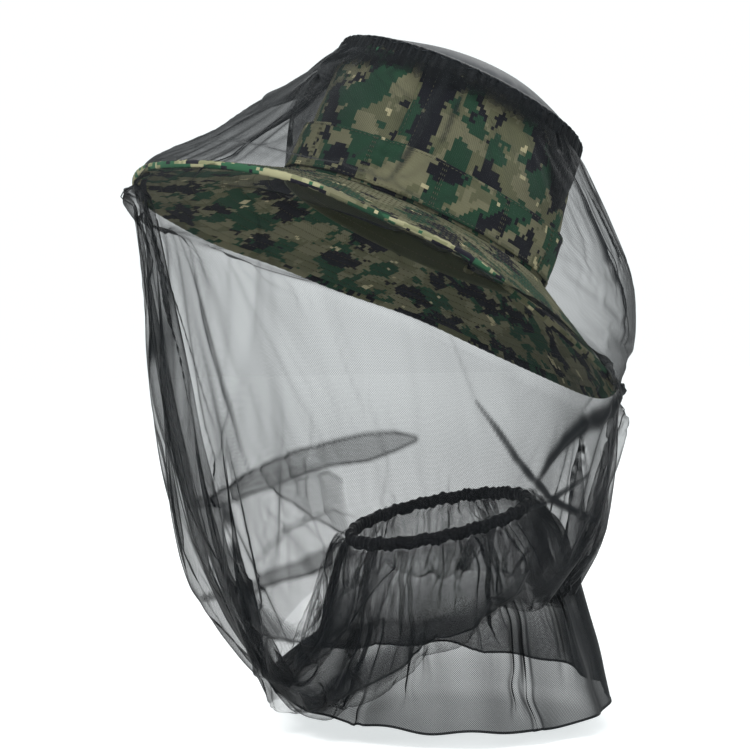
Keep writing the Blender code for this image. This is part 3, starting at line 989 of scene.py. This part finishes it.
def rest_lengths(smooth):
    """The net laid out as a tube of rings: as wide as it was cut, drawn in only where it is sewn."""
    width = (NET_AROUND * drawn_in(smooth))[None, :]
    turn = (tau * np.arange(NET_COLUMNS) / NET_COLUMNS)[:, None]
    radius = width / tau
    slack = np.where(np.arange(NET_ROWS - 1) < TENT_ROWS, 1.01, 1.05)
    fall = norm(np.diff(smooth, axis=1), axis=2) * slack
    grow = np.diff(np.broadcast_to(radius, (NET_COLUMNS, NET_ROWS)), axis=1)
    drop = np.sqrt(np.maximum(fall**2 - grow**2, (0.35 * fall) ** 2))
    height = -np.concatenate([np.zeros((NET_COLUMNS, 1)), np.cumsum(drop, axis=1)], axis=1)
    return np.stack([radius * np.sin(turn), -radius * np.cos(turn), height], axis=-1)


def tube_faces(columns, rows):
    index = np.arange(columns * rows).reshape(columns, rows)
    index = np.concatenate([index, index[:1]], axis=0)
    quads = np.stack([index[:-1, :-1], index[:-1, 1:], index[1:, 1:], index[1:, :-1]], axis=-1)
    return quads.reshape(-1, 4).tolist()


def hat_form():
    """The form that the net falls against as it settles: the hat, over its brim and back under it."""
    turn = np.linspace(0, tau, 97)
    rings = [crown_top(turn, share) for share in (0.02, 0.35, 0.7, 0.93, 1.0)]
    rings += [crown_wall(turn, share) for share in (0.92, 0.6, 0.3, 0.06)]
    rings += [brim(turn, share) + (0, 0, 0.0016) for share in (0.08, 0.3, 0.55, 0.8, 0.985)]
    rings.append(brim(turn, 1.0) + oval(turn, 1.0, 1.0) * 0.002)
    rings += [brim(turn, share) - (0, 0, 0.0022) for share in (0.985, 0.8, 0.55, 0.3, 0.03)]
    points = worn(np.stack(rings, axis=1))
    form = new_object("hat_form", points, grid_faces(*points.shape[:2], flip=True))
    form.modifiers.new("collision", "COLLISION")
    form.collision.thickness_outer = 0.003
    form.collision.thickness_inner = 0.02
    form.collision.cloth_friction = 12.0
    form.collision.damping = 0.2
    return form


CLOTH_SETTINGS = {
    "quality": 5,
    "mass": 0.06,
    "tension_stiffness": 8.0,
    "compression_stiffness": 4.0,
    "shear_stiffness": 2.0,
    "bending_stiffness": 0.02,
    "tension_damping": 5.0,
    "compression_damping": 5.0,
    "shear_damping": 3.0,
    "bending_damping": 0.5,
    "air_damping": 2.5,
    "vertex_group_mass": "held",
    "pin_stiffness": 0.01,
}


def settle(piece, rest, hold, form):
    """Lets the net fall towards its flat lengths, each point held by its share of hold; gives its points."""
    count = len(piece.data.vertices)
    piece.shape_key_add(name="start")
    flat = piece.shape_key_add(name="flat")
    flat.data.foreach_set("co", rest.reshape(-1).astype(np.float32))
    group = piece.vertex_groups.new(name="held")
    for index, weight in enumerate(hold.ravel().tolist()):
        group.add([index], weight, "REPLACE")
    cloth = piece.modifiers.new("cloth", "CLOTH")
    for key, value in CLOTH_SETTINGS.items():
        setattr(cloth.settings, key, value)
    cloth.settings.rest_shape_key = flat
    cloth.collision_settings.distance_min = 0.002
    cloth.collision_settings.collision_quality = 2
    scene = bpy.context.scene
    for clock in (cloth.point_cache, scene):
        clock.frame_start = 1
        clock.frame_end = NET_FRAMES
    for number in range(1, NET_FRAMES + 1):
        scene.frame_set(number)
    settled = piece.evaluated_get(bpy.context.evaluated_depsgraph_get())
    points = np.empty(count * 3, dtype=np.float32)
    settled.data.vertices.foreach_get("co", points)
    bpy.data.objects.remove(piece)
    bpy.data.objects.remove(form)
    scene.frame_set(1)
    return points.reshape(-1, 3).astype(float)


def settled_net():
    """The net's points after it has hung, its course without folds, and the flat tube it was cut as."""
    start, smooth = net_start()
    rest = rest_lengths(smooth)
    hold = np.full((NET_COLUMNS, NET_ROWS), HELD_IN_BAG)
    hold[:, :TENT_ROWS] = HELD_OVER_BRIM
    hold[:, TENT_ROWS - 3 : TENT_ROWS + 4] = HELD_NEAR_EDGE
    hold[:, TENT_ROWS - 1 : TENT_ROWS + 2] = 1.0
    hold[:, :2] = 1.0
    hold[:, -2:] = 1.0
    piece = new_object("net_to_hang", start, tube_faces(NET_COLUMNS, NET_ROWS))
    points = settle(piece, rest, hold, hat_form())
    return points.reshape(NET_COLUMNS, NET_ROWS, 3), smooth, rest


def crowding(points, rest):
    """How many times more net lies at each place than its area shows, as (columns, rows)."""

    def cell_area(grid):
        around = np.roll(grid, -1, axis=0) - grid
        along = np.gradient(grid, axis=1)
        return norm(np.cross(around, along), axis=-1)

    full = rest.copy()
    widen = NET_AROUND / tau / norm(rest[..., :2], axis=-1)
    full[..., :2] *= widen[..., None]
    ratio = cell_area(full) / np.maximum(cell_area(points), 1e-9)
    for _ in range(2):
        ratio = (np.roll(ratio, 1, axis=0) + ratio + np.roll(ratio, -1, axis=0)) / 3
    return np.clip(ratio, 0.8, 9.0)


def gathers(columns, rows, seed):
    """Thin dark lines of bunched net that run away from a gathering seam, of 0 to about 2."""
    lines = wander(columns, rows, (71, 83, 97, 112), 2.0, seed)
    patches = wander(columns, rows, (13, 19), 1.0, seed + 100)
    return np.clip(lines - 0.5, 0, 1.5) * np.clip(0.6 + 0.5 * patches, 0.05, 1.4)


def dressed_net():
    """The net made finer and folded: its points, normals, layers, and its course without folds."""
    points, smooth, rest = settled_net()
    layers = finer(crowding(points, rest))
    points, smooth = finer(points), finer(smooth)
    out = outward_normals(points)
    for extra, width, height, *route in CREASES:
        near = crease_share(points, route, width / MM) ** 1.6
        streaks = np.clip(0.95 + 0.15 * wander(*near.shape, (60, 80, 100), 9.0, 41), 0.6, 1.3)
        points = points + out * (near * height / MM)[..., None]
        layers = layers + near * extra * streaks
    net_columns, net_rows = layers.shape
    row = np.arange(net_rows)
    turning_in = smoothstep((row - FINER * (TENT_ROWS + BAG_ROWS - 14)) / (13 * FINER))
    turned_in = smoothstep((row - FINER * (TENT_ROWS + BAG_ROWS - 4)) / (6 * FINER))
    layers = layers ** mix(1.0, GATHERED_POWER, turning_in) * mix(1.0, GATHERED_THIN, turned_in)
    hanging = (row > FINER * TENT_ROWS) & (row < FINER * (TENT_ROWS + BAG_ROWS))
    turn = turn_of(points)
    slack = 0.5 * near_turn(turn, 100, 32)
    slack = slack + 0.7 * smoothstep((row / FINER - TENT_ROWS - 12) / 20)
    slack = slack * hanging + 0.7 * near_turn(turn, FRONT_TURN, 60) * (row < FINER * TENT_ROWS)
    layers = layers + slack / np.clip(layers - 0.3, 1.0, 6.0) ** 1.5
    for extra, height, *stations in FLAT_FOLDS:
        inside, edges = fold_shares(points, stations)
        layers = layers + (extra * inside + 2.2 * edges) * hanging / np.clip(layers - 0.5, 1.0, 4.0)
        points = points + out * (height / MM * inside * hanging)[..., None]
    layers = layers * (1 + gathers(net_columns, net_rows, 31) * bump(row, 7 * FINER))
    layers = layers * (1 + gathers(net_columns, net_rows, 32) * bump(net_rows - 1 - row, 9 * FINER))
    return points, out, layers, smooth


def make_net(looks):
    """The hanging net as its two panels, and the dark seams where they join."""
    points, out, layers, smooth = dressed_net()
    net_columns, net_rows = layers.shape
    row = np.arange(net_rows)
    half = net_columns // 2
    for name, first, gather in (("net_left_panel", 0, True), ("net_right_panel", half, False)):
        piece = half_round(name, first, points, layers, NET_AROUND, NET_LONG, looks)
        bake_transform(piece)
        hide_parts(name, *(["net_neck_gather"] if gather else []))
    for name, column in (("net_front_seam", 0), ("net_back_seam", half)):
        middle = points[column] + out[column] * WALL
        side = smooth[(column + 2) % net_columns] - smooth[column - 2]
        side /= norm(side, axis=1, keepdims=True)
        strip = np.stack([middle + side * TAPE_WIDTH * share for share in (-0.5, 0.0, 0.5)], axis=0)
        strip[1] += grid_normals(strip)[1] * -0.0006
        uv = flat_grid([0, TAPE_WIDTH / 2, TAPE_WIDTH], row / net_rows * NET_LONG)
        piece = cloth_grid(name + "_tape", strip, uv, looks["net"], flip=True)
        add_layers(piece, np.full(strip.shape[:2], TAPE_LAYERS))
        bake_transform(piece)
        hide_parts(name)


def make_collar(looks):
    """The ruffled casing round the neck; the elastic in it is the frame's own."""
    turn = np.linspace(0, tau, 641)
    rounds = 12
    angle = np.linspace(0, tau, rounds + 1)
    ruffle = np.sin(turn * 74 + 2.2 * np.sin(turn * 5) + 1.3 * np.sin(turn * 13))
    ruffle = 0.6 * ruffle + 0.4 * np.sin(turn * 43 + 2.0 * np.sin(turn * 9))
    size = 0.0033 + 0.0006 * ruffle
    centre = neck_ring(turn, NECK_RADIUS + 0.0005 * np.sin(turn * 31), 0.0007 * np.sin(turn * 23))
    outward = oval(turn, 1.0, 1.0)
    across = np.cos(angle)[None, :, None] * outward[:, None] * size[:, None, None]
    high = np.sin(angle)[None, :, None] * np.array([0, 0, 1.35]) * size[:, None, None]
    shape = centre[:, None] + across + high
    uv = flat_grid(turn * 0.19, angle * 0.004)
    piece = cloth_grid("neck_casing_net", shape, uv, looks["gathered"], flip=False)
    weld_seam(piece)
    place_with(piece, "collar", "black_seam_tape", "neck_casing")
    elastic = frame["nodes"]["neck_elastic"]
    for slot in elastic.material_slots:
        slot.material = looks["elastic"]
    if not elastic.data.uv_layers:
        lay_flat(elastic.data)


def skirt_rings(turn):
    """The skirt's course: close to the chest in front, flared at its hem, and out over the shoulders."""
    chest = ((1 + np.cos(turn - VEIL_SEAM_TURN)) / 2) ** 1.5
    low = SKIRT_LOW + 0.003 - 0.012 * np.sin(turn)
    rings = [neck_ring(turn, NECK_RADIUS + 0.0045, -0.004)]
    rings.append(neck_ring(turn, mix(0.083, 0.072, chest), -0.016))
    for behind, ahead, height in ((0.101, 0.078, -0.256), (0.111, 0.085, -0.288)):
        radius = mix(behind, ahead, chest)
        rings.append(oval(turn, radius, radius, NECK_SHIFT, height))
    for behind, ahead, lift in ((0.117, 0.099, 0.016), (0.122, 0.121, 0.0)):
        radius = mix(behind, ahead, chest)
        rings.append(oval(turn, radius, radius, NECK_SHIFT, low + lift))
    return rings


def make_skirt(looks):
    """The short skirt below the collar, and its narrow hem."""
    columns, rows = 360, 46
    turn = VEIL_SEAM_TURN + tau * np.arange(columns) / columns
    smooth = even_columns(skirt_rings(turn), rows, 6)
    row = np.arange(rows)
    near_neck = bump(row, 9.0)
    width = mix(SKIRT_AROUND, np.minimum(ring_lengths(smooth) * 1.5, SKIRT_AROUND), near_neck)
    fine = wander(columns, rows, (41, 47, 58), 3.0, 13)
    share = bump(row, 12.0)[None, :]
    points, out = pleated(smooth, width, fine, 0.12)
    points = points + out * (0.0025 * wander(columns, rows, (6, 9, 15), 3.0, 15) * (1 - share))[..., None]
    behind = smoothstep((1 - np.cos(turn)) / 1.2)[:, None]
    layers = SKIRT_LAYERS * mix(mix(0.20, 0.30, behind), 1.0, smoothstep((row - 14) / 17)[None, :])
    layers = layers * (1 + gathers(columns, rows, 33) * bump(row, 15.0))
    for name, first in (("skirt_left_panel", 0), ("skirt_right_panel", columns // 2)):
        piece = half_round(name, first, points, layers, SKIRT_AROUND, SKIRT_LONG, looks, 3)
        finer_mesh = piece.modifiers.new("refine", "SUBSURF")
        finer_mesh.levels = 1
        finer_mesh.render_levels = 1
        place_with(piece, "collar", "black_netting", name)
    hem = np.stack([points[:, -1], points[:, -1] * 0.5 + points[:, -2] * 0.5], axis=1)
    hem = np.concatenate([hem, hem[:1]], axis=0)
    uv = flat_grid(np.arange(columns + 1) * 0.0046, [0.0, 0.003])
    piece = cloth_grid("skirt_hem_tape", hem, uv, looks["net"])
    add_layers(piece, np.full(hem.shape[:2], HEM_LAYERS))
    thicken(piece, 0.0008)
    place_with(piece, "collar", "black_seam_tape", "skirt_hem")


# The studio


def area_light(name, place, target, size, power):
    data = bpy.data.lights.new(name, "AREA")
    data.shape = "DISK"
    data.size = size
    data.energy = power
    light = bpy.data.objects.new(name, data)
    light.location = place
    light.rotation_euler = (Vector(target) - Vector(place)).to_track_quat("-Z", "Y").to_euler()
    bpy.context.scene.collection.objects.link(light)


def make_studio(looks):
    low = cad_box[0][2] - FLOOR_GAP
    corners = [(FLOOR_HALF * x, FLOOR_HALF * y, low) for x, y in ((-1, -1), (1, -1), (1, 1), (-1, 1))]
    new_object("floor", corners, [(0, 1, 2, 3)], looks["floor"])
    scene = bpy.context.scene
    world = bpy.data.worlds.new("studio")
    world.use_nodes = True
    tree = world.node_tree
    background = tree.nodes["Background"]
    background.inputs["Color"].default_value = (*STUDIO_WHITE, 1.0)
    names = ("LightPath", "TexCoord", "SeparateXYZ", "MapRange", "Mix")
    path, where, parts, sky, strength = (tree.nodes.new("ShaderNode" + name) for name in names)
    ramp = {"From Min": -0.25, "From Max": 0.6, "To Min": 0.16, "To Max": 0.75}
    for socket, value in ramp.items():
        sky.inputs[socket].default_value = value
    strength.inputs[3].default_value = 1.0
    tree.links.new(where.outputs["Generated"], parts.inputs[0])
    tree.links.new(parts.outputs[2], sky.inputs["Value"])
    tree.links.new(path.outputs["Is Camera Ray"], strength.inputs[0])
    tree.links.new(sky.outputs[0], strength.inputs[2])
    tree.links.new(strength.outputs[0], background.inputs["Strength"])
    scene.world = world
    middle = (0.0, 0.0, -0.05)
    area_light("key", (0.9, -1.5, 1.3), middle, 0.7, 36.0)
    area_light("fill", (1.9, 0.5, 0.5), middle, 1.2, 14.0)
    area_light("rim", (-1.2, 1.3, 1.2), middle, 1.0, 14.0)
    scene.view_settings.view_transform = "Standard"
    scene.cycles.transparent_max_bounces = 32


def make_camera():
    """A long lens level with the chin, a little in front of the wearer's left side."""
    around = radians(62)
    rise = radians(2.1)
    distance = 1.609
    frame_width = 0.528
    aside = -0.0262
    above = -0.0993
    backward = Vector((math.sin(around) * math.cos(rise), -math.cos(around) * math.cos(rise), math.sin(rise)))
    right = Vector((math.cos(around), math.sin(around), 0.0))
    up = backward.cross(right)
    middle = right * aside + up * above
    data = bpy.data.cameras.new("camera")
    data.sensor_width = 36.0
    data.lens = 36.0 * distance / frame_width
    camera = bpy.data.objects.new("camera", data)
    turn = Matrix((right, up, backward)).transposed()
    camera.matrix_world = Matrix.Translation(middle + backward * distance) @ turn.to_4x4()
    bpy.context.scene.collection.objects.link(camera)
    bpy.context.scene.camera = camera


def main():
    make_camera()
    looks = {
        "camouflage": camouflage(),
        "thread": plain_cloth("hat_thread", (0.12, 0.12, 0.06), (0.20, 0.19, 0.11), 0.7),
        "lining": plain_cloth("sweatband_cotton", (0.08, 0.09, 0.05), (0.12, 0.13, 0.07), 0.85),
        "interlining": plain_cloth("brim_interlining", (0.55, 0.53, 0.47), (0.66, 0.64, 0.58), 0.95),
        "net": netting(),
        "gathered": plain_cloth(
            "gathered_netting", (0.004, 0.004, 0.005), (0.014, 0.015, 0.018), 0.7, 0.0013, 0.03, 0.2
        ),
        "veil_top": plain_cloth(
            "veil_top_cloth", (0.018, 0.021, 0.024), (0.034, 0.039, 0.044), 0.6, 0.0013, 0.02, 0.12
        ),
        "elastic": plain_cloth("black_elastic", (0.012, 0.012, 0.014), (0.03, 0.03, 0.033), 0.75, 0.0016),
        "floor": floor_cloth(),
    }
    make_hat(looks)
    make_veil_top(looks)
    make_veil_top_seam(looks)
    make_collar(looks)
    make_skirt(looks)
    make_net(looks)
    make_studio(looks)


main()
